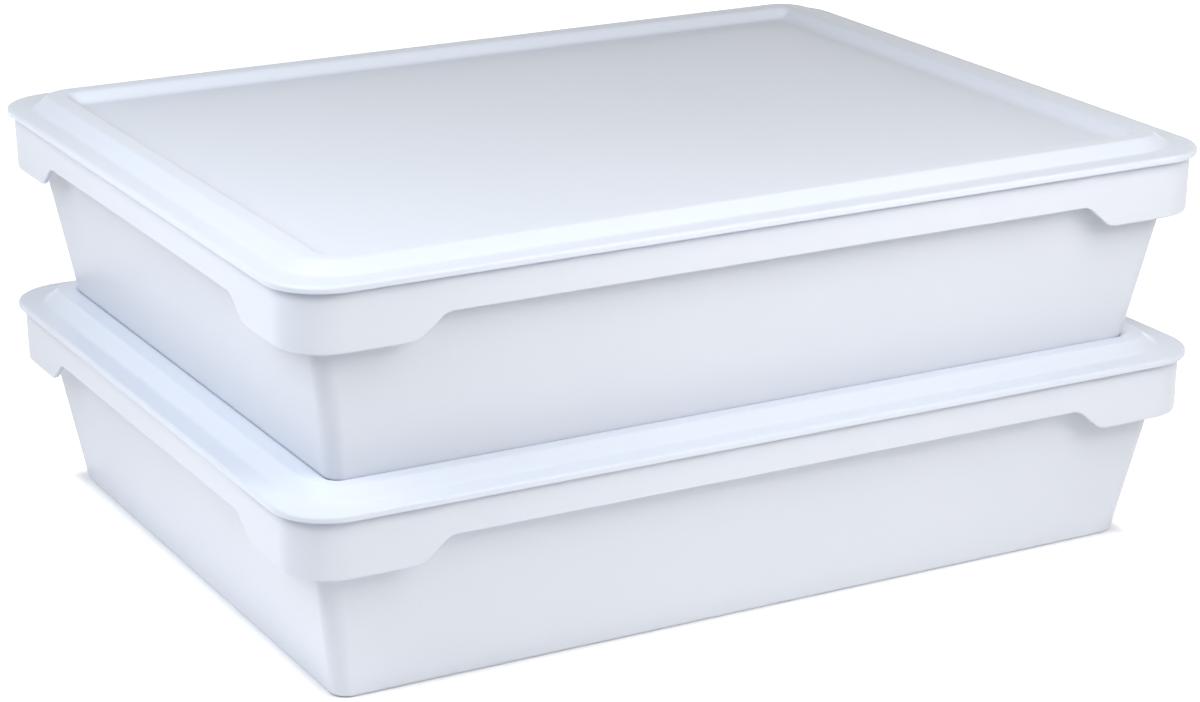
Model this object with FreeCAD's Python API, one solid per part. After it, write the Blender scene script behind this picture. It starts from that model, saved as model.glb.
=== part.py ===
import FreeCAD, Part
import math
import os

# A pair of stackable dough proofing boxes, one standing on the other.
# Each box is a moulded tray with a loose moulded lid, and both boxes are alike.
# X runs along the long side, Y towards the back and Z up.
# The origin is the middle of the lower tray's foot, and all lengths are in millimetres.

# The lid from above
lid_length = 430.0
lid_width = 336.2
lid_corner_radius = 24.5
lid_overhang = 2.9

# The lid in section: a flat brim, a raised frame and, inside it, a panel level with the brim
brim_thickness = 3.0
brim_top_edge_radius = 1.3
brim_low_edge_radius = 0.7
frame_foot_inset = 9.4
frame_slope_run = 7.1
frame_height = 4.9
frame_foot_corner_radius = 24.0
frame_land_corner_radius = 14.0
frame_foot_radius = 3.5
frame_edge_radius = 2.0
recess_depth = 4.9
recess_slope_run = 5.8
recess_corner_radius = 8.2
recess_edge_radius = 4.8
recess_foot_radius = 6.0
lid_wall = 2.5

# The rib under the lid that drops into the tray's mouth
rib_depth = 6.0
rib_thickness = 2.0
rib_corner_radius = 17.0
rib_edge_radius = 0.7
rib_clearance = 0.8

# The tray's sloping wall and floor
tray_height = 84.3
base_inset_end = 25.5
base_inset_side = 24.8
base_corner_radius = 8.0
base_edge_radius = 2.5
wall_flare_end = 13.7
wall_flare_side = 16.2
mouth_corner_radius = 11.0
mouth_edge_radius = 0.8
wall_thickness = 2.4
floor_thickness = 2.6
floor_fillet_radius = 6.0

# The tray's rim and its skirt, which is deeper at the corners
rim_thickness = 2.6
rim_edge_radius = 0.8
skirt_thickness = 2.4
skirt_depth = 14.8
skirt_corner_depth = 24.8
skirt_draw_in = 0.5
corner_skirt_length = 51.0
skirt_step_run = 12.0
skirt_step_radius = 6.0
gusset_thickness = 2.2
gusset_drop = 9.5
gusset_bend_share = 0.35

# How deep the upper tray's foot sinks into the frame, and its room on the slope it stands on
nest_depth = 1.8
seat_clearance = 0.02

# How far a cutting body runs past what it cuts
overrun = 5.0

# Two points count as one when they are closer than this
match_tolerance = 0.01


def up(height):
    """Vector along Z."""
    return FreeCAD.Vector(0, 0, height)


def rounded(length, width, radius):
    """A rectangle with round corners, as its length, width and corner radius."""
    return (length, width, radius)


def inset(shape, distance):
    """The same rectangle drawn in by a distance on every side, with its corner centres kept."""
    length, width, radius = shape
    return rounded(length - 2 * distance, width - 2 * distance, radius - distance)


def outline(shape, height):
    """Closed wire of a round-cornered rectangle that is centred on the Z axis at a height."""
    length, width, radius = shape
    half_x, half_y = length / 2, width / 2
    edges = []
    for turn, (reach, across) in enumerate([(half_x, half_y), (half_y, half_x)] * 2):
        low = FreeCAD.Vector(reach, radius - across, height)
        high = FreeCAD.Vector(reach, across - radius, height)
        centre = FreeCAD.Vector(reach - radius, across - radius, height)
        diagonal = FreeCAD.Vector(radius, radius, 0) * math.sqrt(0.5)
        end = FreeCAD.Vector(reach - radius, across, height)
        side = [Part.LineSegment(low, high).toShape(), Part.Arc(high, centre + diagonal, end).toShape()]
        for edge in side:
            edge.rotate(FreeCAD.Vector(), up(1), 90 * turn)
        edges += side
    return Part.Wire(edges)


def frustum(low_shape, low_height, high_shape, high_height):
    """Solid with straight sloping sides between two round-cornered rectangles."""
    return Part.makeLoft([outline(low_shape, low_height), outline(high_shape, high_height)], True, True)


def prism(shape, low_height, high_height):
    """Upright solid on a round-cornered rectangle."""
    return frustum(shape, low_height, shape, high_height)


def edges_on(solid, wire):
    """The edges of a solid that lie along a wire."""
    found = []
    for edge in solid.Edges:
        middle = edge.valueAt((edge.FirstParameter + edge.LastParameter) / 2)
        if Part.Vertex(middle).distToShape(wire)[0] < match_tolerance:
            found.append(edge)
    return found


def soften(solid, radius, shape, height):
    """Round the edges that lie along one outline of a solid."""
    return solid.makeFillet(radius, edges_on(solid, outline(shape, height)))


# Outlines that the pieces share
lid_edge = rounded(lid_length, lid_width, lid_corner_radius)
skirt_top = inset(lid_edge, lid_overhang)
base = rounded(lid_length - 2 * base_inset_end, lid_width - 2 * base_inset_side, base_corner_radius)
mouth = rounded(base[0] + 2 * wall_flare_end, base[1] + 2 * wall_flare_side, mouth_corner_radius)


def wall_at(height):
    """Outer outline of the tray's wall at a height above the foot."""
    rise_share = height / tray_height
    return tuple(low + (high - low) * rise_share for low, high in zip(base, mouth))


# Heights in one box
skirt_low = tray_height - skirt_depth
skirt_corner_low = tray_height - skirt_corner_depth
brim_top = tray_height + brim_thickness
land_top = brim_top + frame_height
panel_top = land_top - recess_depth
stack_pitch = land_top - nest_depth


def skirt_at(height):
    """Outer outline of the skirt at a height, drawn in a little towards its foot."""
    drop_share = (tray_height - height) / skirt_corner_depth
    return inset(skirt_top, skirt_draw_in * drop_share)


def skirt_step_cutter(side_length, reach):
    """Body that cuts the skirt shallower along the middle of one side, for the side that faces +Y."""
    low = skirt_corner_low - overrun
    half_low = side_length / 2 - corner_skirt_length
    half_high = half_low - skirt_step_run
    slope = skirt_step_run / (skirt_low - skirt_corner_low)
    half_end = half_low + overrun * slope
    inner = reach - skirt_draw_in - 2 * skirt_thickness
    corners = [(-half_end, low), (-half_high, skirt_low), (half_high, skirt_low), (half_end, low)]
    points = [FreeCAD.Vector(x, inner, z) for x, z in corners]
    face = Part.Face(Part.makePolygon(points + points[:1]))
    body = face.extrude(FreeCAD.Vector(0, reach + overrun - inner, 0))
    upper_corners = [edge for edge in body.Edges if is_upper_step_edge(edge, half_high)]
    return body.makeFillet(skirt_step_radius, upper_corners)


def is_upper_step_edge(edge, half_high):
    """Whether an edge of the step cutter runs through the skirt at one upper corner of the step."""
    middle = edge.CenterOfMass
    at_corner = abs(abs(middle.x) - half_high) < match_tolerance
    return at_corner and abs(middle.z - skirt_low) < match_tolerance


def round_step_tips(rim):
    """Round the lower tips that the steps leave at the corners of the skirt."""
    tips = [edge for edge in rim.Edges if is_step_tip(edge)]
    return rim.makeFillet(skirt_step_radius, tips)


def is_step_tip(edge):
    """Whether an edge runs through the skirt at the foot of a step."""
    box = edge.BoundBox
    flat = box.ZMax - box.ZMin < match_tolerance and abs(box.ZMin - skirt_corner_low) < match_tolerance
    through = edge.Length < 2 * skirt_thickness
    return flat and through


def make_rim():
    """The flat rim with its down-turned skirt, shallow along the sides and deep at the corners."""
    foot, under_rim = skirt_at(skirt_corner_low), tray_height - rim_thickness
    rim = frustum(foot, skirt_corner_low, skirt_top, tray_height)
    rim = soften(rim, rim_edge_radius, skirt_top, tray_height)
    space_foot, space_top = inset(foot, skirt_thickness), inset(skirt_at(under_rim), skirt_thickness)
    rim = rim.cut(frustum(space_foot, skirt_corner_low, space_top, under_rim))
    for turn, (side, reach) in enumerate([(skirt_top[0], skirt_top[1]), (skirt_top[1], skirt_top[0])] * 2):
        cutter = skirt_step_cutter(side, reach / 2)
        cutter.rotate(FreeCAD.Vector(), up(1), 90 * turn)
        rim = rim.cut(cutter)
    return round_step_tips(rim)


def make_gusset(x_sign, y_sign):
    """Web that ties the skirt to the wall across one corner, with a hollow lower edge."""
    low, top = skirt_corner_low - gusset_drop, tray_height - rim_thickness / 2
    inner = corner_point(inset(wall_at(low), wall_thickness / 2))
    outer = corner_point(inset(skirt_at(skirt_corner_low), skirt_thickness / 2))
    along = FreeCAD.Vector(outer[0] - inner[0], outer[1] - inner[1], 0)
    across = FreeCAD.Vector(-along.y, along.x, 0).normalize() * gusset_thickness
    start = FreeCAD.Vector(inner[0], inner[1], 0) - across / 2
    low_in, low_out = start + up(low), start + along + up(skirt_corner_low)
    bend = start + along * gusset_bend_share + up(skirt_corner_low - gusset_drop * gusset_bend_share)
    high_in, high_out = start + up(top), start + along + up(top)
    edges = [Part.Arc(low_in, bend, low_out).toShape()]
    for begin, end in [(low_out, high_out), (high_out, high_in), (high_in, low_in)]:
        edges.append(Part.LineSegment(begin, end).toShape())
    web = Part.Face(Part.Wire(edges)).extrude(across)
    mirrored = FreeCAD.Matrix(x_sign, 0, 0, 0, 0, y_sign, 0, 0, 0, 0, 1, 0, 0, 0, 0, 1)
    return web.transformGeometry(mirrored)


def corner_point(shape):
    """The middle of the corner arc of an outline, in the +X +Y quarter."""
    length, width, radius = shape
    cut = radius * (1 - math.sqrt(0.5))
    return (length / 2 - cut, width / 2 - cut)


def make_tray():
    """Tray with sloping walls, a flat rim and the skirt, hollow from above."""
    wall = soften(frustum(base, 0, mouth, tray_height), base_edge_radius, base, 0)
    gussets = [make_gusset(x_sign, y_sign) for x_sign in (-1, 1) for y_sign in (-1, 1)]
    body = wall.fuse([make_rim()] + gussets)
    hollow_floor = inset(wall_at(floor_thickness), wall_thickness)
    hollow_mouth = inset(mouth, wall_thickness)
    hollow = frustum(hollow_floor, floor_thickness, hollow_mouth, tray_height)
    hollow = soften(hollow, floor_fillet_radius, hollow_floor, floor_thickness)
    tray = body.cut(hollow).removeSplitter()
    return soften(tray, mouth_edge_radius, hollow_mouth, tray_height)


def recess_outline():
    """Outline of the recess at the frame's top, where the foot's round edge comes to rest on the slope below it."""
    reach_x, reach_y = seat_reach(wall_flare_end), seat_reach(wall_flare_side)
    return rounded(base[0] + 2 * reach_x, base[1] + 2 * reach_y, recess_corner_radius)


def seat_reach(wall_flare):
    """How far the recess's rim lies outside the foot, so that its slope touches the foot's round edge."""
    slope = math.hypot(recess_slope_run, recess_depth)
    lean = wall_flare / tray_height
    centre_reach = base_edge_radius * (lean - math.hypot(1, lean))
    centre_rise = base_edge_radius - nest_depth
    gap = base_edge_radius + seat_clearance
    return centre_reach + (gap * slope - centre_rise * recess_slope_run) / recess_depth


def make_lid():
    """Lid with a flat brim, a raised hollow frame, a sunk panel and a locating rib underneath."""
    frame_foot, frame_land = frame_at(brim_top), frame_at(land_top)
    recess_rim = recess_outline()
    panel = inset(recess_rim, recess_slope_run)
    brim = prism(lid_edge, tray_height, brim_top)
    brim = soften(brim, brim_top_edge_radius, lid_edge, brim_top)
    brim = soften(brim, brim_low_edge_radius, lid_edge, tray_height)
    lid = brim.fuse(frustum(frame_foot, brim_top, frame_land, land_top)).removeSplitter()
    lid = soften(lid, frame_foot_radius, frame_foot, brim_top)
    lid = soften(lid, frame_edge_radius, frame_land, land_top)
    lid = lid.cut(frustum(panel, panel_top, recess_rim, land_top))
    lid = soften(lid, recess_edge_radius, recess_rim, land_top)
    lid = soften(lid, recess_foot_radius, panel, panel_top)
    lid = lid.cut(lid_hollow(recess_rim, panel))
    return lid.fuse(make_rib()).removeSplitter()


def frame_at(height):
    """Outline of the raised frame's outer slope at a height, carried on below the brim."""
    rise_share = (height - brim_top) / frame_height
    distance = frame_foot_inset + frame_slope_run * rise_share
    radius = frame_foot_corner_radius + (frame_land_corner_radius - frame_foot_corner_radius) * rise_share
    return rounded(lid_length - 2 * distance, lid_width - 2 * distance, radius)


def inside_frame(depth, low_height):
    """Body that keeps a depth below the frame's outer slope and its top, from a height up."""
    frame_shift = depth * math.hypot(frame_slope_run, frame_height) / frame_height
    roof = land_top - depth
    low, high = inset(frame_at(low_height), frame_shift), inset(frame_at(roof), frame_shift)
    return frustum(low, low_height, high, roof)


def lid_hollow(recess_rim, panel):
    """Space under the lid: the frame's inside at a wall's distance, less the walls of the sunk panel."""
    panel_low, rim_low = inset(panel, -lid_wall / 2), inset(recess_rim, -lid_wall / 2)
    kept = frustum(panel_low, panel_top - lid_wall, rim_low, land_top)
    return inside_frame(lid_wall, tray_height).cut(kept)


def make_rib():
    """Upright band under the lid that stands inside the tray's mouth."""
    foot, top = tray_height - rib_depth, land_top - lid_wall / 2
    length, width, _ = inset(wall_at(foot), wall_thickness + rib_clearance)
    outer = rounded(length, width, rib_corner_radius)
    inner = inset(outer, rib_thickness)
    rib = prism(outer, foot, top).cut(prism(inner, foot, top))
    rib = soften(rib, rib_edge_radius, outer, foot)
    rib = soften(rib, rib_edge_radius, inner, foot)
    return rib.common(inside_frame(lid_wall / 2, foot))


def raised(shape, height):
    """A copy of a shape, moved up."""
    return shape.translated(up(height))


def main():
    """Write each piece of the stack at its place."""
    os.makedirs("parts", exist_ok=True)
    tray, lid = make_tray(), make_lid()
    pieces = {
        "lower_tray": tray,
        "lower_lid": lid,
        "upper_tray": raised(tray, stack_pitch),
        "upper_lid": raised(lid, stack_pitch),
    }
    for name, shape in pieces.items():
        shape.exportStep(f"parts/{name}.step")
        print(name, shape.ShapeType, len(shape.Solids), "solid", shape.isValid(), round(shape.Volume), "mm3")


main()
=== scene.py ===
"""Two stacked dough proofing boxes: fine moulded surfaces in satin white plastic under soft studio light.

Each box is a tray and a loose lid. Both are closed surfaces: a section with rounded corners that is
carried round the middle axis along a round-cornered rectangle. Lengths are in millimetres until a
mesh is made, and the overall sizes are read from the frame.
"""
import logging
import math
from dataclasses import dataclass, field
from enum import Enum
from typing import Callable, Sequence

import bpy
import numpy as np
from mathutils import Matrix, Vector


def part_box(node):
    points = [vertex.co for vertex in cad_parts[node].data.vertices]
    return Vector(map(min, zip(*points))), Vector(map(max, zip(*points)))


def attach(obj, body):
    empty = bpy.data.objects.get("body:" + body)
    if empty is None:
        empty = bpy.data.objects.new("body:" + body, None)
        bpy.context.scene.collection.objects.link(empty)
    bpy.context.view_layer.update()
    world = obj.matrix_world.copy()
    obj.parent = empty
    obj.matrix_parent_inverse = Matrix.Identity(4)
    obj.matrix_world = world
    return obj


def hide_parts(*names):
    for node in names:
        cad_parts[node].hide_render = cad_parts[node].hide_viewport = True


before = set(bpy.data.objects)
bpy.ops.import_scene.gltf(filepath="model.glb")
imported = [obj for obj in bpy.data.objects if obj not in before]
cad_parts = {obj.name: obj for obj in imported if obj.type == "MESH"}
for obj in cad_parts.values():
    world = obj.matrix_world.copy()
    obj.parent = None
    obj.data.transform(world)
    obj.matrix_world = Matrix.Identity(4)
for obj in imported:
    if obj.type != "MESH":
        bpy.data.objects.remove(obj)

LOG = logging.getLogger("dough_boxes")
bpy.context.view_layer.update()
MM = 0.001

# How finely the surfaces are cut: counts of steps or stops, and lengths in millimetres
CORNER_STEPS = 20
ROUNDING_STEP_DEGREES = 13.0
LEAST_ROUNDING_STEPS = 3
SUPPORT_GAP = 0.5
SHORTEST_STRAIGHT = 3 * SUPPORT_GAP
LONGEST_QUAD = 14.0
SKIRT_MIDDLE_STOPS = 14
SKIRT_RAMP_STOPS = 30
SKIRT_CORNER_STOPS = 4
LID_END_STEPS = 24
LID_SIDE_STEPS = 30
LID_EDGE_SHARE = 0.006
WEB_STEPS = 10
WEB_FOOT_STEPS = 8

# A row of a section holds half_x, half_y, corner, height, drop share and wear
SECTION_PLANE = [0, 3]
WEAR_COLUMN = 5

# Patterns of the plastic: counts for each metre, shares, and where in the noise a mask begins and is full
CLOUD_PER_METRE = 9.0
RUB_BREAKS_PER_METRE = 60.0
DULL_PATCHES_PER_METRE = 16.0
FINE_DETAIL, PLAIN_DETAIL = 2.0, 1.0
GRAIN_SHARE, RIPPLE_SHARE = 0.35, 0.65
NOISE_MIDDLE = 0.5
TONE_LIMITS = (0.35, 0.65)
RUB_BREAK_LIMITS = (0.2, 0.8)
DULL_PATCH_LIMITS = (0.3, 0.8)

# Sockets of a Mix node that mixes colours: A, B and the result
MIX_COLOUR_INPUTS, MIX_COLOUR_OUTPUT = (6, 7), 2
WHITE = (1.0, 1.0, 1.0)


class Level(Enum):
    """Which box of the stack a piece belongs to."""

    LOWER = "lower"
    UPPER = "upper"


class Finish(Enum):
    """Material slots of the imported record."""

    TRAY = "tray_plastic"
    LID = "lid_plastic"


def node_box(node: str) -> tuple[np.ndarray, np.ndarray]:
    """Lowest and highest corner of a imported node.

    Args:
        node: name of the node.

    Returns:
        Two corners, in millimetres.
    """
    low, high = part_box(node)
    return np.array(low) / MM, np.array(high) / MM


@dataclass(frozen=True)
class Outline:
    """A round-cornered rectangle about the upright middle axis, in millimetres."""

    half_x: float
    half_y: float
    corner: float

    def inset(self, distance: float) -> "Outline":
        """The same rectangle drawn in by a distance, with its corner centres kept."""
        return Outline(self.half_x - distance, self.half_y - distance, self.corner - distance)

    def towards(self, other: "Outline", share: float) -> "Outline":
        """The rectangle at a share of the way from this one to another."""
        mixed = (1 - share) * self.row() + share * other.row()
        return Outline(*mixed)

    def row(self) -> np.ndarray:
        """The three sizes as an array."""
        return np.array([self.half_x, self.half_y, self.corner])

    def corner_point(self) -> np.ndarray:
        """x and y of the middle of the +X +Y corner arc, 1 - sqrt(1/2) of its radius inside both sides."""
        cut = self.corner * (1 - math.sqrt(0.5))
        return np.array([self.half_x - cut, self.half_y - cut])

    @classmethod
    def circle(cls, radius: float) -> "Outline":
        """A circle, which is a rectangle that is all corner."""
        return cls(radius, radius, radius)


@dataclass(frozen=True)
class Station:
    """One corner of a moulding's section.

    The height and the rounding's radius are in millimetres. drop_share says how much of the skirt's
    extra depth at its corners the station takes, and worn how much hands and stacking rub this edge.
    Both are shares from 0 to 1.
    """

    outline: Outline
    height: float
    rounding: float = 0.0
    drop_share: float = 0.0
    worn: float = 0.0

    def row(self) -> np.ndarray:
        """Sizes, height, drop share and no wear as one row of the section."""
        return np.array([*self.outline.row(), self.height, self.drop_share, 0.0])


@dataclass(frozen=True)
class FeedGate:
    """Dimple where the plastic was fed into a moulding, with the feed's stub in it, in millimetres."""

    radius: float = 8.0
    depth: float = 0.6
    stub_radius: float = 1.8
    stub_height: float = 0.4

    def stations(self, below: float) -> list[Station]:
        """Corners of the dimple's section, from the flat underside inwards.

        Args:
            below: height of the underside round the dimple.

        Returns:
            The stations, of which the last is the middle.
        """
        rounding = self.depth / 3
        roof = below + self.depth
        stub_end = roof - self.stub_height
        return [
            Station(Outline.circle(self.radius + self.depth), below, rounding),
            Station(Outline.circle(self.radius), roof, rounding),
            Station(Outline.circle(self.stub_radius), roof, rounding / 2),
            Station(Outline.circle(self.stub_radius), stub_end, rounding / 2),
            Station(Outline.circle(0.0), stub_end),
        ]


@dataclass(frozen=True)
class Lap:
    """One walk round a round-cornered rectangle, in shares that fit any such rectangle.

    A point of an outline is x = (half_x - corner) * along_x + corner * cos(turn), and the same in y
    with the sine. The walk turns from +X to +Y.
    """

    along_x: np.ndarray
    along_y: np.ndarray
    turn: np.ndarray

    @classmethod
    def sampled(cls, end_stops: np.ndarray, side_stops: np.ndarray, corner_steps: int) -> "Lap":
        """Walk with given stops on the straight stretches and even steps in the corners.

        Args:
            end_stops: shares from -1 to 1 along the sides that face X.
            side_stops: shares from -1 to 1 along the sides that face Y.
            corner_steps: steps in each quarter turn.

        Returns:
            The walk, one sample for each column of a surface.
        """
        quarter = np.linspace(0.0, math.pi / 2, corner_steps + 1)[1:-1]
        rest = np.ones_like(quarter)
        end, side = np.concatenate([end_stops, rest]), np.concatenate([side_stops, rest])
        end_one, side_one = np.ones_like(end), np.ones_like(side)
        along_x = np.concatenate([end_one, -side, -end_one, side])
        along_y = np.concatenate([end, side_one, -end, -side_one])
        turns = [np.concatenate([np.zeros(len(stops)), quarter]) for stops in (end_stops, side_stops)] * 2
        turn = np.concatenate([part + index * math.pi / 2 for index, part in enumerate(turns)])
        return cls(along_x, along_y, turn)


def even_stops(count: int) -> np.ndarray:
    """Even stops along a straight side, with a close pair at each end.

    Args:
        count: number of even steps.

    Returns:
        Shares from -1 to 1.
    """
    inner = np.linspace(-1.0 + LID_EDGE_SHARE, 1.0 - LID_EDGE_SHARE, count + 1)
    return np.concatenate([[-1.0], inner, [1.0]])


def rounded_corner(before: np.ndarray, station: Station, after: np.ndarray) -> np.ndarray:
    """Rows of one rounded corner of a section.

    The corner is an arc that touches both arms. With A and B the touching points, C the centre and D
    the turn, a point at share s is C + (sin((1 - s) D) (A - C) + sin(s D) (B - C)) / sin(D).

    Args:
        before: row of the station before.
        station: the corner itself.
        after: row of the station after.

    Returns:
        The rows of the arc, or the one row of a sharp corner.
    """
    at = station.row()
    if station.rounding == 0.0:
        return at[None, :]
    arms = [other - at for other in (before, after)]
    lengths = [math.hypot(*arm[SECTION_PLANE]) for arm in arms]
    cosine = float(arms[0][SECTION_PLANE] @ arms[1][SECTION_PLANE]) / (lengths[0] * lengths[1])
    cut = station.rounding / math.tan(math.acos(cosine) / 2)
    first, last = (at + arm * cut / length for arm, length in zip(arms, lengths))
    centre = at + (first + last - 2 * at) / (1 + cosine)
    turn = math.pi - math.acos(cosine)
    steps = max(LEAST_ROUNDING_STEPS, math.ceil(math.degrees(turn) / ROUNDING_STEP_DEGREES))
    share = np.linspace(0.0, 1.0, steps + 1)[:, None]
    towards_first, towards_last = np.sin((1 - share) * turn), np.sin(share * turn)
    arc = centre + (towards_first * (first - centre) + towards_last * (last - centre)) / math.sin(turn)
    arc[:, WEAR_COLUMN] = station.worn * np.sin(math.pi * share[:, 0])
    return arc


def straight_rows(begin: np.ndarray, end: np.ndarray) -> np.ndarray:
    """Rows between two rounded corners: one close to each, and even ones where the way is long.

    Args:
        begin: last row of the corner before.
        end: first row of the corner after.

    Returns:
        The rows in between, which may be none.
    """
    length = math.hypot(*(end - begin)[SECTION_PLANE])
    if length < SHORTEST_STRAIGHT:
        return np.empty((0, len(begin)))
    edge = SUPPORT_GAP / length
    count = max(1, math.ceil(length / LONGEST_QUAD))
    share = np.linspace(edge, 1 - edge, count + 1)[:, None]
    return (1 - share) * begin + share * end


def section_rows(stations: Sequence[Station]) -> np.ndarray:
    """All rows of a section, from its first station to its last.

    Args:
        stations: the section's corners; the first and the last are never rounded.

    Returns:
        One row for each ring of the surface: half_x, half_y, corner, height, drop share, wear.
    """
    rows = [station.row() for station in stations]
    corners = [rows[0][None, :]]
    for index in range(1, len(stations) - 1):
        corners.append(rounded_corner(rows[index - 1], stations[index], rows[index + 1]))
    corners.append(rows[-1][None, :])
    parts = [corners[0]]
    for before, after in zip(corners, corners[1:]):
        parts += [straight_rows(before[-1], after[0]), after]
    return np.concatenate(parts)


def carried_round(rows: np.ndarray, lap: Lap, drop: np.ndarray | float, draft: float) -> np.ndarray:
    """Points of a section carried round a lap.

    A row's outline gives x and y. Its height is lowered by its share of the drop, and the outline is
    drawn in by the draft for each millimetre of that drop.

    Args:
        rows: the section's rows.
        lap: the walk round the outline.
        drop: extra depth at each sample of the lap, zero or less.
        draft: how far the outline draws in for each millimetre of drop.

    Returns:
        Points with one row for each ring and one column for each sample.
    """
    half_x, half_y, corner, height, share, _ = rows.T[:, :, None]
    lowered = share * drop
    reach = corner + draft * lowered
    x = (half_x - corner) * lap.along_x + reach * np.cos(lap.turn)
    y = (half_y - corner) * lap.along_y + reach * np.sin(lap.turn)
    z = height + lowered + np.zeros_like(x)
    return np.stack([x, y, z], axis=-1)


def closed_grid(points: np.ndarray) -> tuple[np.ndarray, np.ndarray, np.ndarray]:
    """Vertices and faces of a grid that closes round its columns and ends in two poles.

    Ring k and ring k + 1 are joined by four-sided faces, and the first and the last ring, which are
    single points, by triangles.

    Args:
        points: grid of points, whose first and last rows are poles.

    Returns:
        Vertices with the poles last, four-sided faces and triangles.
    """
    rings, columns = points.shape[0] - 2, points.shape[1]
    vertices = np.concatenate([points[1:-1].reshape(-1, 3), points[0, :1], points[-1, :1]])
    first_pole, last_pole = rings * columns, rings * columns + 1
    here = np.arange(columns)
    beyond = (here + 1) % columns
    ring = (np.arange(rings - 1) * columns)[:, None]
    quads = np.stack([ring + here, ring + columns + here, ring + columns + beyond, ring + beyond], axis=-1)
    last_ring = (rings - 1) * columns
    start_fan = np.stack([np.full(columns, first_pole), here, beyond], axis=-1)
    end_fan = np.stack([last_ring + here, np.full(columns, last_pole), last_ring + beyond], axis=-1)
    return vertices, quads.reshape(-1, 4), np.concatenate([start_fan, end_fan])


def closed_surface(name: str, points: np.ndarray, wear: np.ndarray) -> bpy.types.Object:
    """Mesh object of a closed grid.

    Args:
        name: name of the piece.
        points: grid of points in millimetres, whose first and last rows are poles.
        wear: wear of each row.

    Returns:
        The new object, linked to the scene.
    """
    vertices, quads, fans = closed_grid(points)
    vertex_wear = np.concatenate([np.repeat(wear[1:-1], points.shape[1]), [wear[0], wear[-1]]])
    return mesh_object(name, vertices * MM, quads, fans, vertex_wear)


def mesh_object(
    name: str, vertices: np.ndarray, quads: np.ndarray, triangles: np.ndarray, wear: np.ndarray
) -> bpy.types.Object:
    """Smooth mesh object from whole arrays.

    Args:
        name: name of the piece.
        vertices: points in metres.
        quads: four corners of each four-sided face.
        triangles: three corners of each triangle.
        wear: wear of each vertex, from 0 to 1, kept as an attribute.

    Returns:
        The new object, linked to the scene.
    """
    mesh = bpy.data.meshes.new(name)
    loops = np.concatenate([quads.ravel(), triangles.ravel()]).astype(np.int32)
    sizes = np.concatenate([np.full(len(quads), 4), np.full(len(triangles), 3)])
    starts = np.concatenate([[0], np.cumsum(sizes)[:-1]]).astype(np.int32)
    mesh.vertices.add(len(vertices))
    mesh.vertices.foreach_set("co", vertices.astype(np.float32).ravel())
    mesh.loops.add(len(loops))
    mesh.loops.foreach_set("vertex_index", loops)
    mesh.polygons.add(len(starts))
    mesh.polygons.foreach_set("loop_start", starts)
    mesh.update(calc_edges=True)
    mesh.shade_smooth()
    attribute = mesh.attributes.new("edge_wear", "FLOAT", "POINT")
    attribute.data.foreach_set("value", wear.astype(np.float32))
    piece = bpy.data.objects.new(name, mesh)
    bpy.context.scene.collection.objects.link(piece)
    return piece


class ShaderTree:
    """A small helper that adds and joins shader nodes."""

    def __init__(self, tree: bpy.types.NodeTree) -> None:
        """Work on one node tree."""
        self.tree = tree

    def add(self, kind: str, **settings: object) -> bpy.types.Node:
        """Add a node and set its properties.

        Args:
            kind: Blender's name of the node type.
            settings: properties of the node.

        Returns:
            The new node.
        """
        node = self.tree.nodes.new(kind)
        for key, value in settings.items():
            setattr(node, key, value)
        return node

    def join(self, source: bpy.types.NodeSocket, target: bpy.types.NodeSocket) -> None:
        """Link two sockets."""
        self.tree.links.new(source, target)

    def math(self, operation: str, left: object, right: object) -> bpy.types.NodeSocket:
        """Result of a Math node.

        Args:
            operation: Blender's name of the operation.
            left: first operand, a number or a socket.
            right: second operand, which an operation on one value ignores.

        Returns:
            The node's output.
        """
        node = self.add("ShaderNodeMath", operation=operation)
        for socket, value in zip(node.inputs, (left, right)):
            self.feed(socket, value)
        return node.outputs["Value"]

    def feed(self, socket: bpy.types.NodeSocket, value: object) -> None:
        """Give a socket a value.

        Args:
            socket: the socket.
            value: a number or a socket.
        """
        if isinstance(value, bpy.types.NodeSocket):
            self.join(value, socket)
        else:
            socket.default_value = value

    def noise(self, vector: bpy.types.NodeSocket, scale: object, detail: float) -> bpy.types.NodeSocket:
        """Value of a Noise texture.

        Args:
            vector: where it is read.
            scale: a number or a socket.
            detail: how many finer layers it has.

        Returns:
            The noise, from 0 to 1.
        """
        node = self.add("ShaderNodeTexNoise")
        self.join(vector, node.inputs["Vector"])
        self.feed(node.inputs["Scale"], scale)
        node.inputs["Detail"].default_value = detail
        return node.outputs["Fac"]

    def remap(self, value: bpy.types.NodeSocket, low: float, high: float) -> bpy.types.NodeSocket:
        """Smooth step of a value.

        Args:
            value: the value.
            low: where the step is 0.
            high: where the step is 1.

        Returns:
            The step.
        """
        node = self.add("ShaderNodeMapRange", interpolation_type="SMOOTHSTEP")
        self.join(value, node.inputs["Value"])
        node.inputs["From Min"].default_value = low
        node.inputs["From Max"].default_value = high
        return node.outputs["Result"]


def new_group(
    name: str, inputs: Sequence[str], outputs: Sequence[str]
) -> tuple[ShaderTree, dict[str, bpy.types.NodeSocket], dict[str, bpy.types.NodeSocket]]:
    """Empty shader node group that reads a vector and some values and puts out values.

    Args:
        name: name of the group.
        inputs: names of the values that it takes beside its Vector.
        outputs: names of the values that it puts out.

    Returns:
        The group's tree, its inputs and its outputs by name.
    """
    group = bpy.data.node_groups.new(name, "ShaderNodeTree")
    group.interface.new_socket("Vector", in_out="INPUT", socket_type="NodeSocketVector")
    for way, names in (("INPUT", inputs), ("OUTPUT", outputs)):
        for socket in names:
            group.interface.new_socket(socket, in_out=way, socket_type="NodeSocketFloat")
    tree = ShaderTree(group)
    entry, leave = tree.add("NodeGroupInput"), tree.add("NodeGroupOutput")
    return tree, {s.name: s for s in entry.outputs}, {s.name: s for s in leave.inputs}


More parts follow.
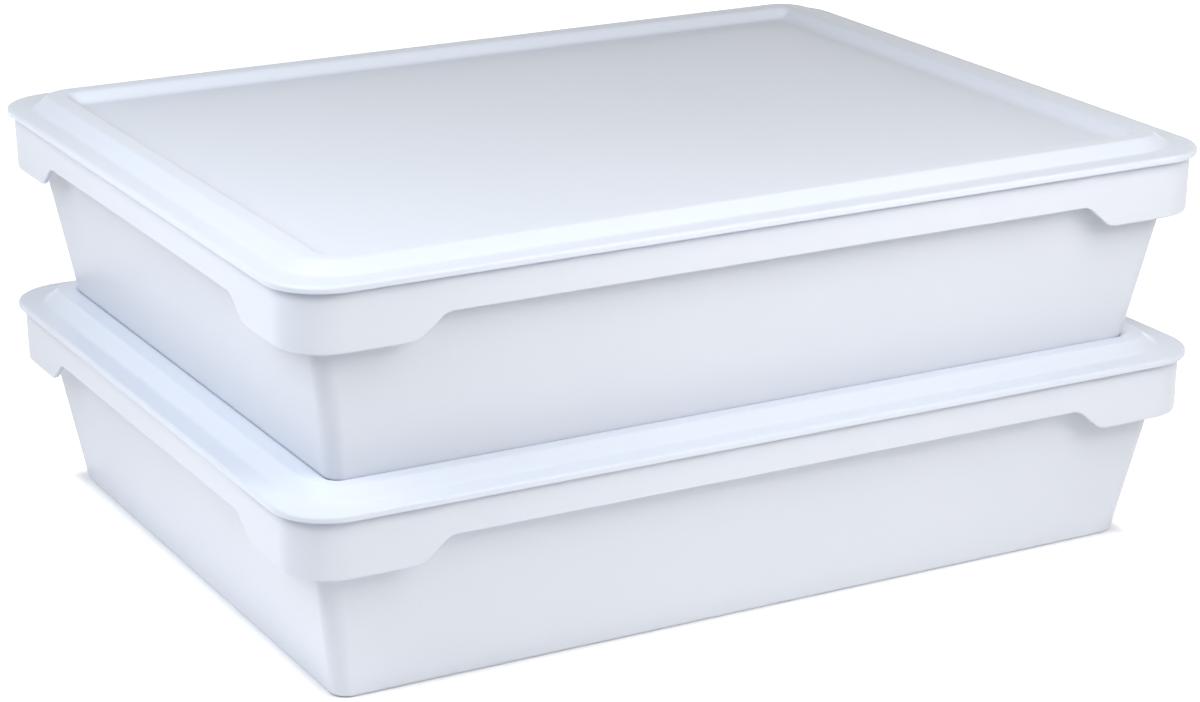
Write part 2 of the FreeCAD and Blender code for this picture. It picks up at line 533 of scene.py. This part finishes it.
def moulded_grain_group() -> bpy.types.NodeTree:
    """Group for the skin of a moulding: a fine eroded grain over a slow ripple.

    Returns:
        The group, which puts out a height, a roughness and a tone mask.
    """
    tree, given, result = new_group(
        "moulded_grain",
        ("Grain per Metre", "Ripple per Metre", "Roughness", "Roughness Spread"),
        ("Height", "Roughness", "Tone"),
    )
    place = given["Vector"]
    grain = tree.math("MULTIPLY", tree.noise(place, given["Grain per Metre"], FINE_DETAIL), GRAIN_SHARE)
    ripple = tree.math("MULTIPLY", tree.noise(place, given["Ripple per Metre"], PLAIN_DETAIL), RIPPLE_SHARE)
    cloud = tree.noise(place, CLOUD_PER_METRE, FINE_DETAIL)
    swing = tree.math("MULTIPLY", tree.math("SUBTRACT", cloud, NOISE_MIDDLE), given["Roughness Spread"])
    tree.join(tree.math("ADD", grain, ripple), result["Height"])
    tree.join(tree.math("ADD", given["Roughness"], swing), result["Roughness"])
    tree.join(tree.remap(cloud, *TONE_LIMITS), result["Tone"])
    return tree.tree


def edge_wear_group() -> bpy.types.NodeTree:
    """Group for handling: a broken rub along the edges that stand out, over soft dull patches.

    Returns:
        The group, which puts out a mask of the wear.
    """
    tree, given, result = new_group("edge_wear", ("Edge", "Patches"), ("Wear",))
    place = given["Vector"]
    breaks = tree.remap(tree.noise(place, RUB_BREAKS_PER_METRE, PLAIN_DETAIL), *RUB_BREAK_LIMITS)
    patch = tree.remap(tree.noise(place, DULL_PATCHES_PER_METRE, PLAIN_DETAIL), *DULL_PATCH_LIMITS)
    edge = tree.math("MULTIPLY", given["Edge"], breaks)
    wear = tree.math("MAXIMUM", edge, tree.math("MULTIPLY", patch, given["Patches"]))
    tree.join(wear, result["Wear"])
    return tree.tree


@dataclass(frozen=True)
class SatinPlastic:
    """Cool white moulded plastic with a satin skin.

    Colours are linear. Grain and ripple are counts for each metre, and the bump's distance is in
    metres. patches is the strength of the dull patches, and dulling is what full wear adds to the
    roughness.
    """

    name: str
    colour: tuple[float, float, float]
    shade: tuple[float, float, float]
    roughness: float
    roughness_spread: float
    grain_per_metre: float
    ripple_per_metre: float
    bump_strength: float
    bump_distance: float
    patches: float
    dulling: float

    def material(self, grain: bpy.types.NodeTree, handling: bpy.types.NodeTree) -> bpy.types.Material:
        """Material of the finish.

        Args:
            grain: the group that makes the skin.
            handling: the group that makes the wear.

        Returns:
            The new material.
        """
        material = bpy.data.materials.new(self.name)
        material.use_nodes = True
        tree = ShaderTree(material.node_tree)
        shader = material.node_tree.nodes["Principled BSDF"]
        place = tree.add("ShaderNodeTexCoord").outputs["Object"]
        skin = tree.add("ShaderNodeGroup", node_tree=grain)
        wear = tree.add("ShaderNodeGroup", node_tree=handling)
        edge = tree.add("ShaderNodeAttribute", attribute_name="edge_wear")
        for group in (skin, wear):
            tree.join(place, group.inputs["Vector"])
        tree.join(edge.outputs["Fac"], wear.inputs["Edge"])
        wear.inputs["Patches"].default_value = self.patches
        skin.inputs["Grain per Metre"].default_value = self.grain_per_metre
        skin.inputs["Ripple per Metre"].default_value = self.ripple_per_metre
        skin.inputs["Roughness"].default_value = self.roughness
        skin.inputs["Roughness Spread"].default_value = self.roughness_spread
        tone = tree.add("ShaderNodeMix", data_type="RGBA")
        tree.join(skin.outputs["Tone"], tone.inputs["Factor"])
        for socket, colour in zip(MIX_COLOUR_INPUTS, (self.colour, self.shade)):
            tone.inputs[socket].default_value = (*colour, 1.0)
        tree.join(tone.outputs[MIX_COLOUR_OUTPUT], shader.inputs["Base Color"])
        dulled = tree.math("MULTIPLY", wear.outputs["Wear"], self.dulling)
        tree.join(tree.math("ADD", skin.outputs["Roughness"], dulled), shader.inputs["Roughness"])
        bump = tree.add("ShaderNodeBump")
        bump.inputs["Strength"].default_value = self.bump_strength
        bump.inputs["Distance"].default_value = self.bump_distance
        tree.join(skin.outputs["Height"], bump.inputs["Height"])
        tree.join(bump.outputs["Normal"], shader.inputs["Normal"])
        return material


TRAY_FINISH = SatinPlastic(
    name="tray_satin_white",
    colour=(0.727, 0.755, 0.822),
    shade=(0.721, 0.75, 0.818),
    roughness=0.36,
    roughness_spread=0.08,
    grain_per_metre=1700.0,
    ripple_per_metre=38.0,
    bump_strength=0.25,
    bump_distance=0.00008,
    patches=0.3,
    dulling=0.05,
)
LID_FINISH = SatinPlastic(
    name="lid_satin_white",
    colour=(0.72, 0.765, 0.85),
    shade=(0.714, 0.76, 0.846),
    roughness=0.29,
    roughness_spread=0.04,
    grain_per_metre=1900.0,
    ripple_per_metre=32.0,
    bump_strength=0.25,
    bump_distance=0.00008,
    patches=0.3,
    dulling=0.05,
)


@dataclass
class ProofingTray:
    """Moulded tray: sloping walls, a flat rim and a down-turned skirt that is deeper at the corners.

    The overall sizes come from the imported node. Heights are measured from the tray's foot.
    """

    level: Level
    corner_radius: float = 21.6
    wall_thickness: float = 2.4
    floor_thickness: float = 2.6
    floor_fillet: float = 6.0
    mouth_rounding: float = 0.8
    mouth_inset: float = 8.9
    mouth_inset_side: float = 5.7
    mouth_corner: float = 8.5
    base_inset: float = 22.6
    base_inset_side: float = 21.9
    base_corner: float = 7.6
    base_rounding: float = 2.5
    rim_thickness: float = 2.6
    rim_rounding: float = 3.0
    skirt_thickness: float = 2.4
    skirt_depth: float = 14.8
    skirt_corner_depth: float = 24.8
    skirt_draw_in: float = 0.5
    lip_rounding: float = 0.6
    corner_length: float = 51.0
    step_run: float = 12.0
    step_radius: float = 8.0
    under_rim_rounding: float = 1.0
    gate: FeedGate = FeedGate()
    web_thickness: float = 2.2
    web_drop: float = 4.5
    web_lift: float = 1.0
    web_bend_share: float = 0.35
    node: str = field(init=False)
    foot: float = field(init=False)
    height: float = field(init=False)
    rim_edge: Outline = field(init=False)

    def __post_init__(self) -> None:
        """Read the tray's place and overall sizes from its node."""
        self.node = f"{self.level.value}_tray"
        low, high = node_box(self.node)
        self.foot, self.height = low[2], high[2] - low[2]
        self.rim_edge = Outline(high[0], high[1], self.corner_radius)

    def wall_at(self, height: float) -> Outline:
        """Outer outline of the wall, which slopes evenly from the base to the mouth.

        Args:
            height: height above the foot.

        Returns:
            The outline at that height.
        """
        edge = self.rim_edge
        base = Outline(edge.half_x - self.base_inset, edge.half_y - self.base_inset_side, self.base_corner)
        mouth_x, mouth_y = edge.half_x - self.mouth_inset, edge.half_y - self.mouth_inset_side
        return base.towards(Outline(mouth_x, mouth_y, self.mouth_corner), height / self.height)

    def skirt_at(self, height: float) -> Outline:
        """Outer outline of the skirt at a height, drawn in a little towards its lip."""
        return self.rim_edge.inset(self.draft() * (self.height - height))

    def draft(self) -> float:
        """How far the skirt draws in for each millimetre of depth."""
        return self.skirt_draw_in / self.skirt_corner_depth

    def stations(self) -> list[Station]:
        """Corners of the section, from the middle of the floor over the rim to the middle of the foot.

        Returns:
            The section's stations, with heights above the tray's foot.
        """
        lip = self.height - self.skirt_depth
        under = self.height - self.rim_thickness
        floor = self.wall_at(self.floor_thickness).inset(self.wall_thickness)
        hollow_mouth = self.wall_at(self.height).inset(self.wall_thickness)
        lip_in = self.skirt_at(lip).inset(self.skirt_thickness)
        under_in = self.skirt_at(under).inset(self.skirt_thickness)
        return [
            Station(Outline.circle(0.0), self.floor_thickness),
            Station(floor, self.floor_thickness, self.floor_fillet),
            Station(hollow_mouth, self.height, self.mouth_rounding, worn=0.7),
            Station(self.rim_edge, self.height, self.rim_rounding, worn=0.6),
            Station(self.skirt_at(lip), lip, self.lip_rounding, drop_share=1.0, worn=1.0),
            Station(lip_in, lip, self.lip_rounding, drop_share=1.0, worn=0.5),
            Station(under_in, under, self.under_rim_rounding),
            Station(self.wall_at(under), under, self.under_rim_rounding),
            Station(self.wall_at(0.0), 0.0, self.base_rounding, worn=1.0),
            *self.gate.stations(0.0),
        ]

    def side_stops(self, half_side: float) -> np.ndarray:
        """Stops along one side of the skirt, close together where it steps down to its corners.

        Args:
            half_side: half the length of that side of the rim.

        Returns:
            Shares from -1 to 1 of the side's straight stretch.
        """
        straight = half_side - self.corner_radius
        low = half_side - self.corner_length
        high = low - self.step_run
        margin = self.step_radius / 2
        middle = np.linspace(0.0, high - margin, SKIRT_MIDDLE_STOPS)
        ramp = np.linspace(high - margin, low + margin, SKIRT_RAMP_STOPS)[1:]
        corner = np.linspace(low + margin, straight - SUPPORT_GAP, SKIRT_CORNER_STOPS)[1:]
        half = np.concatenate([middle, ramp, corner, [straight]]) / straight
        return np.concatenate([-half[:0:-1], half])

    def skirt_drop(self, lap: Lap) -> np.ndarray:
        """Extra depth of the skirt round its lap.

        Along a side the drop is a ramp whose two bends are arcs. With a the distance from the ramp's
        middle, H its height, R the bend's radius and e where the bend ends, half the ramp is slope * a
        up to the bend, H / 2 - R + sqrt(R^2 - (e - a)^2) in it and H / 2 beyond it.

        Args:
            lap: the walk round the skirt.

        Returns:
            The drop at each sample, zero or less, in millimetres.
        """
        edge = self.rim_edge
        x = (edge.half_x - edge.corner) * lap.along_x
        y = (edge.half_y - edge.corner) * lap.along_y
        faces_x = np.abs(np.cos(lap.turn)) > np.abs(np.sin(lap.turn))
        from_end = np.where(faces_x, edge.half_y - np.abs(y), edge.half_x - np.abs(x))
        rise = self.skirt_corner_depth - self.skirt_depth
        angle = math.atan2(rise, self.step_run)
        tangent = self.step_radius * math.tan(angle / 2)
        bend_end = self.step_run / 2 + tangent
        bend_start = self.step_run / 2 - tangent * math.cos(angle)
        offset = self.corner_length + self.step_run / 2 - from_end
        distance = np.minimum(np.abs(offset), bend_end)
        along_bend = bend_end - np.maximum(distance, bend_start)
        bend = rise / 2 - self.step_radius + np.sqrt(self.step_radius**2 - along_bend**2)
        half_ramp = np.where(distance < bend_start, math.tan(angle) * distance, bend)
        return -rise / 2 - np.sign(offset) * half_ramp

    def build(self) -> list[bpy.types.Object]:
        """Make the tray and the webs across its corners.

        Returns:
            The new objects, in place.
        """
        edge = self.rim_edge
        lap = Lap.sampled(self.side_stops(edge.half_y), self.side_stops(edge.half_x), CORNER_STEPS)
        rows = section_rows(self.stations())
        points = carried_round(rows, lap, self.skirt_drop(lap), self.draft())
        points[..., 2] += self.foot
        shell = closed_surface(f"{self.node}_shell", points, rows[:, WEAR_COLUMN])
        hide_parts(self.node)
        return [shell, self.build_webs()]

    def build_webs(self) -> bpy.types.Object:
        """Make the four webs that tie the skirt to the wall across the corners.

        Returns:
            One object with the four webs in place.
        """
        vertices, quads, fans = closed_grid(self.web_points())
        corners, faces, caps = [], [], []
        for index, (x_sign, y_sign) in enumerate(((1, 1), (-1, 1), (-1, -1), (1, -1))):
            turned = x_sign * y_sign
            corners.append(vertices * (x_sign, y_sign, 1))
            faces.append(quads[:, ::turned] + index * len(vertices))
            caps.append(fans[:, ::turned] + index * len(vertices))
        placed = np.concatenate(corners) + (0.0, 0.0, self.foot)
        quads, fans, wear = np.concatenate(faces), np.concatenate(caps), np.zeros(len(placed))
        return mesh_object(f"{self.node}_webs", placed * MM, quads, fans, wear)

    def web_points(self) -> np.ndarray:
        """Points of one web, in the +X +Y corner.

        At share u from wall to skirt the web's section is a plate with a half-round foot. The foot
        ends a little above the skirt's corner lip, at height e, and its height is e - drop * (1 - u)^p,
        with p such that the bend share of the drop is left at that same share of the way.
        At a height z the web runs from the middle of the wall's corner to the middle of the skirt's.

        Returns:
            Grid of points, one row for each share u, with a pole at each end.
        """
        end = self.height - self.skirt_corner_depth + self.web_lift
        top = self.height - self.rim_thickness / 2
        power = math.log(self.web_bend_share) / math.log(1 - self.web_bend_share)
        share = np.linspace(0.0, 1.0, WEB_STEPS + 1)[:, None]
        foot = end - (self.web_drop + self.web_lift) * (1 - share) ** power
        half = self.web_thickness / 2
        turn = np.linspace(0.0, -math.pi, WEB_FOOT_STEPS + 1)
        side = np.concatenate([[half], half * np.cos(turn), [-half]])
        height = np.concatenate([
            np.full_like(foot, top), foot + half * (1 + np.sin(turn)), np.full_like(foot, top)
        ], axis=1)
        inner = self.corner_line(self.wall_at, self.wall_thickness, height)
        outer = self.corner_line(self.skirt_at, self.skirt_thickness, height)
        along = outer[0, 0] - inner[0, 0]
        across = np.array([-along[1], along[0]]) / math.hypot(*along)
        place = inner + share[..., None] * (outer - inner) + side[:, None] * across
        rings = np.concatenate([place, height[..., None]], axis=-1)
        poles = np.broadcast_to(rings.mean(axis=1, keepdims=True), rings.shape)
        return np.concatenate([poles[:1], rings, poles[-1:]])

    @staticmethod
    def corner_line(
        outline_at: Callable[[float], Outline], thickness: float, height: np.ndarray
    ) -> np.ndarray:
        """Middle of a leaning wall's corner at many heights.

        The corner leans evenly, so with A its place at height 0 and B its place at height 1, it is
        A + z * (B - A) at height z.

        Args:
            outline_at: gives the wall's outer outline at a height.
            thickness: the wall's thickness.
            height: the heights.

        Returns:
            x and y at each height, in the +X +Y corner.
        """
        low, high = (outline_at(level).inset(thickness / 2).corner_point() for level in (0.0, 1.0))
        return low + height[..., None] * (high - low)

    def dress(self, pieces: list[bpy.types.Object], material: bpy.types.Material) -> None:
        """Give the pieces their finish and tie them to the tray's body."""
        dress_pieces(pieces, material, self.node)


@dataclass
class ProofingLid:
    """Moulded lid: a flat brim, a raised frame, a sunk panel and a rib that stands in the tray's mouth.

    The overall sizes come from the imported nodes. Heights are measured from the tray's foot.
    """

    level: Level
    corner_radius: float = 24.5
    brim_thickness: float = 3.0
    brim_rounding: float = 1.3
    brim_low_rounding: float = 0.4
    frame_foot_inset: float = 9.4
    frame_slope_run: float = 7.1
    frame_foot_corner: float = 24.0
    frame_land_corner: float = 14.0
    frame_foot_rounding: float = 3.5
    frame_rounding: float = 2.0
    recess_depth: float = 4.9
    recess_inset: float = 24.55
    recess_inset_side: float = 23.79
    recess_slope_run: float = 5.8
    recess_corner: float = 6.6
    panel_corner: float = 1.6
    recess_rounding: float = 4.8
    recess_foot_rounding: float = 6.0
    wall: float = 2.5
    pocket_rise: float = 2.1
    inner_pocket_rise: float = 3.7
    inner_pocket_inset: float = 2.4
    rib_depth: float = 6.0
    rib_thickness: float = 2.0
    rib_inset: float = 15.98
    rib_inset_side: float = 12.95
    rib_corner: float = 17.0
    rib_rounding: float = 0.7
    inner_rounding: float = 0.3
    gate: FeedGate = FeedGate()
    node: str = field(init=False)
    foot: float = field(init=False)
    seat: float = field(init=False)
    top: float = field(init=False)
    edge: Outline = field(init=False)

    def __post_init__(self) -> None:
        """Read the lid's place and overall sizes from the nodes."""
        self.node = f"{self.level.value}_lid"
        tray_low, tray_high = node_box(f"{self.level.value}_tray")
        _, high = node_box(self.node)
        self.foot = tray_low[2]
        self.seat = tray_high[2] - tray_low[2]
        self.top = high[2] - tray_low[2]
        self.edge = Outline(high[0], high[1], self.corner_radius)

    def drawn_in(self, inset_end: float, inset_side: float, corner: float) -> Outline:
        """An outline inside the lid's edge."""
        return Outline(self.edge.half_x - inset_end, self.edge.half_y - inset_side, corner)

    def frame_at(self, height: float) -> Outline:
        """Outline of the raised frame's outer slope, which runs evenly from the brim to the land.

        Args:
            height: height above the tray's foot.

        Returns:
            The outline at that height.
        """
        brim = self.seat + self.brim_thickness
        rise_share = (height - brim) / (self.top - brim)
        foot_inset, land_inset = self.frame_foot_inset, self.frame_foot_inset + self.frame_slope_run
        foot = self.drawn_in(foot_inset, foot_inset, self.frame_foot_corner)
        land = self.drawn_in(land_inset, land_inset, self.frame_land_corner)
        return foot.towards(land, rise_share)

    def stations(self) -> list[Station]:
        """Corners of the section, from the middle of the panel over the edge to the middle below.

        Returns:
            The section's stations, with heights above the tray's foot.
        """
        brim = self.seat + self.brim_thickness
        panel_height = self.top - self.recess_depth
        recess = self.drawn_in(self.recess_inset, self.recess_inset_side, self.recess_corner)
        run = self.recess_slope_run
        panel = self.drawn_in(self.recess_inset + run, self.recess_inset_side + run, self.panel_corner)
        return [
            Station(Outline.circle(0.0), panel_height),
            Station(panel, panel_height, self.recess_foot_rounding),
            Station(recess, self.top, self.recess_rounding, worn=1.0),
            Station(self.frame_at(self.top), self.top, self.frame_rounding, worn=1.0),
            Station(self.frame_at(brim), brim, self.frame_foot_rounding),
            Station(self.edge, brim, self.brim_rounding, worn=0.8),
            Station(self.edge, self.seat, self.brim_low_rounding, worn=0.5),
            *self.under_stations(panel, recess, panel_height),
        ]

    def under_stations(self, panel: Outline, recess: Outline, panel_height: float) -> list[Station]:
        """Corners of the section below the lid: the hollow frame, the rib and the panel's underside.

        The frame's hollow lies a wall's thickness inside its slope. With t the thickness, w the slope's
        run and h its rise, that is t * sqrt(w^2 + h^2) / h along the level.

        Args:
            panel: outline of the sunk panel.
            recess: outline of the rim round it.
            panel_height: height of the panel.

        Returns:
            The stations from the brim's underside to the middle.
        """
        rise = self.top - self.seat - self.brim_thickness
        shift = self.wall * math.hypot(self.frame_slope_run, rise) / rise
        roof, below = self.top - self.wall, panel_height - self.wall
        pocket, inner_pocket = self.seat + self.pocket_rise, self.seat + self.inner_pocket_rise
        rib = self.drawn_in(self.rib_inset, self.rib_inset_side, self.rib_corner)
        rib_in, rib_foot = rib.inset(self.rib_thickness), self.seat - self.rib_depth
        panel_low, recess_low = panel.inset(-self.wall / 2), recess.inset(-self.wall / 2)
        slope = panel_low.towards(recess_low, (roof - below) / (self.top - below))
        small = self.inner_rounding
        return [
            Station(self.frame_at(self.seat).inset(shift), self.seat, small),
            Station(self.frame_at(pocket).inset(shift), pocket, small / 2),
            Station(rib, pocket, small / 2),
            Station(rib, rib_foot, self.rib_rounding, worn=0.5),
            Station(rib_in, rib_foot, self.rib_rounding, worn=0.5),
            Station(rib_in, inner_pocket, small),
            Station(rib_in.inset(self.inner_pocket_inset), roof, small),
            Station(slope, roof, small),
            Station(panel_low, below, small),
            *self.gate.stations(below),
        ]

    def build(self) -> list[bpy.types.Object]:
        """Make the lid.

        Returns:
            The new objects, in place.
        """
        lap = Lap.sampled(even_stops(LID_END_STEPS), even_stops(LID_SIDE_STEPS), CORNER_STEPS)
        rows = section_rows(self.stations())
        points = carried_round(rows, lap, 0.0, 0.0)
        points[..., 2] += self.foot
        shell = closed_surface(f"{self.node}_shell", points, rows[:, WEAR_COLUMN])
        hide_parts(self.node)
        return [shell]

    def dress(self, pieces: list[bpy.types.Object], material: bpy.types.Material) -> None:
        """Give the pieces their finish and tie them to the lid's body."""
        dress_pieces(pieces, material, self.node)


def dress_pieces(
    pieces: list[bpy.types.Object], material: bpy.types.Material, body: str
) -> None:
    """Give pieces their material and tie them to a body.

    Args:
        pieces: the objects.
        material: their material.
        body: the body that carries them.
    """
    for piece in pieces:
        piece.data.materials.append(material)
        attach(piece, body)
        LOG.info("%s on %s: %d faces", piece.name, body, len(piece.data.polygons))


# Tints of the lamps, linear: the photograph's light is cooler on the left than at the front
COOL_LIGHT = (0.965, 1.0, 1.045)
WARM_LIGHT = (1.012, 1.0, 0.975)


def direction(azimuth: float, elevation: float) -> Vector:
    """Unit vector from the stack towards a place round it.

    With a the azimuth and e the elevation it is (sin a cos e, -cos a cos e, sin e).

    Args:
        azimuth: degrees from the front towards +X.
        elevation: degrees above the level.

    Returns:
        The vector.
    """
    turn, rise = math.radians(azimuth), math.radians(elevation)
    return Vector((math.sin(turn) * math.cos(rise), -math.cos(turn) * math.cos(rise), math.sin(rise)))


@dataclass(frozen=True)
class SoftBox:
    """One soft lamp that looks at the stack, with its place as angles and a distance.

    Azimuth 0 stands at the front and turns towards +X; angles are in degrees, lengths in metres and
    power in watts. It lights the stack without a reflection of itself on the satin lids, which mirror
    the white room.
    """

    name: str
    azimuth: float
    elevation: float
    distance: float
    width: float
    height: float
    power: float
    colour: tuple[float, float, float] = WHITE

    def place(self, aim: Vector) -> bpy.types.Object:
        """Add the lamp.

        Args:
            aim: the point that it faces.

        Returns:
            The lamp object.
        """
        light = bpy.data.lights.new(self.name, "AREA")
        light.shape = "RECTANGLE"
        light.size, light.size_y = self.width, self.height
        light.energy = self.power
        light.color = self.colour
        lamp = bpy.data.objects.new(self.name, light)
        lamp.visible_camera = False
        lamp.visible_glossy = False
        away = direction(self.azimuth, self.elevation)
        lamp.location = aim + away * self.distance
        lamp.rotation_euler = away.to_track_quat("Z", "Y").to_euler()
        bpy.context.scene.collection.objects.link(lamp)
        return lamp


@dataclass
class Studio:
    """Pale floor, soft lamps and the camera at the photograph's angle.

    Lengths are in metres, lens and sensor in millimetres and angles in degrees.
    """

    floor_half: float = 3.0
    floor_colour: tuple[float, float, float] = (0.95, 0.95, 0.95)
    floor_roughness: float = 0.9
    floor_gloss: float = 0.1
    floor_lift: float = 1.0
    # The lift to white fades out over this reach from the foot's rectangle (shadow_half) and leaves a band of
    # painted contact shade round the foot.
    floor_lift_reach: float = 0.015
    shadow_half: tuple[float, float] = (0.189, 0.143)
    sky: float = 0.02
    aim: tuple[float, float, float] = (0.0, 0.0, 0.09)
    lens: float = 96.71
    sensor: float = 36.0
    clip: tuple[float, float] = (0.01, 50.0)
    camera_place: tuple[float, float, float] = (-0.65111, -1.20702, 0.52901)
    camera_azimuth: float = -28.558
    camera_elevation: float = 18.411
    camera_roll: float = -0.032
    lamps: tuple[SoftBox, ...] = (
        SoftBox("left_far_box", -60.0, 40.0, 1.7, 1.0, 0.9, 5.5, COOL_LIGHT),
        SoftBox("left_near_box", -80.0, 38.0, 0.65, 0.4, 0.4, 1.95, COOL_LIGHT),
        SoftBox("front_near_box", 10.0, 40.0, 0.7, 0.4, 0.4, 2.4, WARM_LIGHT),
        SoftBox("right_far_box", 30.0, 25.0, 1.7, 1.0, 0.9, 6.4, WARM_LIGHT),
        SoftBox("back_fill_box", 200.0, 6.0, 1.7, 1.0, 0.45, 7.0),
        SoftBox("side_fill_box", 125.0, 6.0, 1.7, 1.0, 0.45, 12.0),
    )

    def build(self) -> None:
        """Set up the view, the world, the floor, the lamps and the camera."""
        scene = bpy.context.scene
        scene.view_settings.view_transform = "Standard"
        self.add_world(scene)
        self.add_floor()
        for lamp in self.lamps:
            lamp.place(Vector(self.aim))
        self.add_camera(scene)

    def add_world(self, scene: bpy.types.Scene) -> None:
        """Add an even dim sky that shows as white to the camera and in reflections.

        Args:
            scene: the scene that it is for.
        """
        world = bpy.data.worlds.new("studio_sky")
        world.use_nodes = True
        tree = ShaderTree(world.node_tree)
        background = world.node_tree.nodes["Background"]
        seen = self.seen_by_eye(tree)
        strength = tree.add("ShaderNodeMapRange")
        tree.join(seen, strength.inputs["Value"])
        strength.inputs["To Min"].default_value = self.sky
        strength.inputs["To Max"].default_value = 1.0
        tree.join(strength.outputs["Result"], background.inputs["Strength"])
        background.inputs["Color"].default_value = (*WHITE, 1.0)
        scene.world = world

    @staticmethod
    def seen_by_eye(tree: ShaderTree) -> bpy.types.NodeSocket:
        """Mask of the rays that the camera sees, also by way of a reflection or through glass.

        Args:
            tree: the tree that needs it.

        Returns:
            1 for such rays and 0 for others.
        """
        path = tree.add("ShaderNodeLightPath")
        mirrored = tree.math("MAXIMUM", path.outputs["Is Glossy Ray"], path.outputs["Is Transmission Ray"])
        return tree.math("MAXIMUM", path.outputs["Is Camera Ray"], mirrored)

    def add_floor(self) -> None:
        """Add a flat pale floor that keeps the stack's shadow and is lifted to white where it is bare; the
        lift fades out towards the foot, so a band round it is left darker as painted contact shade over the
        real shadow.
        """
        half = self.floor_half
        corners = np.array([(-half, -half, 0.0), (half, -half, 0.0), (half, half, 0.0), (-half, half, 0.0)])
        quads, none = np.arange(4)[None, :], np.empty((0, 3), dtype=int)
        floor = mesh_object("studio_floor", corners, quads, none, np.zeros(4))
        material = bpy.data.materials.new("studio_paper")
        material.use_nodes = True
        tree = ShaderTree(material.node_tree)
        shader = material.node_tree.nodes["Principled BSDF"]
        shader.inputs["Base Color"].default_value = (*self.floor_colour, 1.0)
        shader.inputs["Roughness"].default_value = self.floor_roughness
        shader.inputs["Specular IOR Level"].default_value = self.floor_gloss
        shader.inputs["Emission Color"].default_value = (*WHITE, 1.0)
        # Painted contact shade: the lift to white is held back near the stack's foot.
        lift = tree.math("MULTIPLY", self.seen_by_eye(tree), self.lift_outside_contact_shade(tree))
        tree.join(tree.math("MULTIPLY", lift, self.floor_lift), shader.inputs["Emission Strength"])
        floor.data.materials.append(material)

    def lift_outside_contact_shade(self, tree: ShaderTree) -> bpy.types.NodeSocket:
        """Share of the floor's lift, from 0 at the stack's foot to 1 on the bare floor round it; where it is
        low the floor is left darker as painted contact shade.

        Args:
            tree: the floor's material.

        Returns:
            The share, by the distance from the foot's rectangle.
        """
        split = tree.add("ShaderNodeSeparateXYZ")
        tree.join(tree.add("ShaderNodeTexCoord").outputs["Object"], split.inputs["Vector"])
        squares = []
        for axis, half in zip("XY", self.shadow_half):
            beyond = tree.math("SUBTRACT", tree.math("ABSOLUTE", split.outputs[axis], 0.0), half)
            squares.append(tree.math("POWER", tree.math("MAXIMUM", beyond, 0.0), 2.0))
        distance = tree.math("SQRT", tree.math("ADD", *squares), 0.0)
        return tree.remap(distance, 0.0, self.floor_lift_reach)

    def add_camera(self, scene: bpy.types.Scene) -> None:
        """Add a camera where the photograph was taken from, with no shift and no depth of field.

        Args:
            scene: the scene that it is for.
        """
        data = bpy.data.cameras.new("photo_camera")
        data.sensor_fit, data.sensor_width, data.lens = "HORIZONTAL", self.sensor, self.lens
        data.clip_start, data.clip_end = self.clip
        camera = bpy.data.objects.new("photo_camera", data)
        facing = (-direction(self.camera_azimuth, self.camera_elevation)).to_track_quat("-Z", "Y").to_matrix()
        roll = Matrix.Rotation(math.radians(self.camera_roll), 3, "Z")
        camera.location = self.camera_place
        camera.rotation_euler = (facing @ roll).to_euler()
        scene.collection.objects.link(camera)
        scene.camera = camera


def main() -> None:
    """Build and dress the stack and set up the studio."""
    logging.basicConfig(level=logging.INFO, format="%(name)s: %(message)s")
    grain, handling = moulded_grain_group(), edge_wear_group()
    tray_material = TRAY_FINISH.material(grain, handling)
    lid_material = LID_FINISH.material(grain, handling)
    for level in Level:
        tray, lid = ProofingTray(level), ProofingLid(level)
        tray.dress(tray.build(), tray_material)
        lid.dress(lid.build(), lid_material)
    Studio().build()


if __name__ == "__main__":
    main()
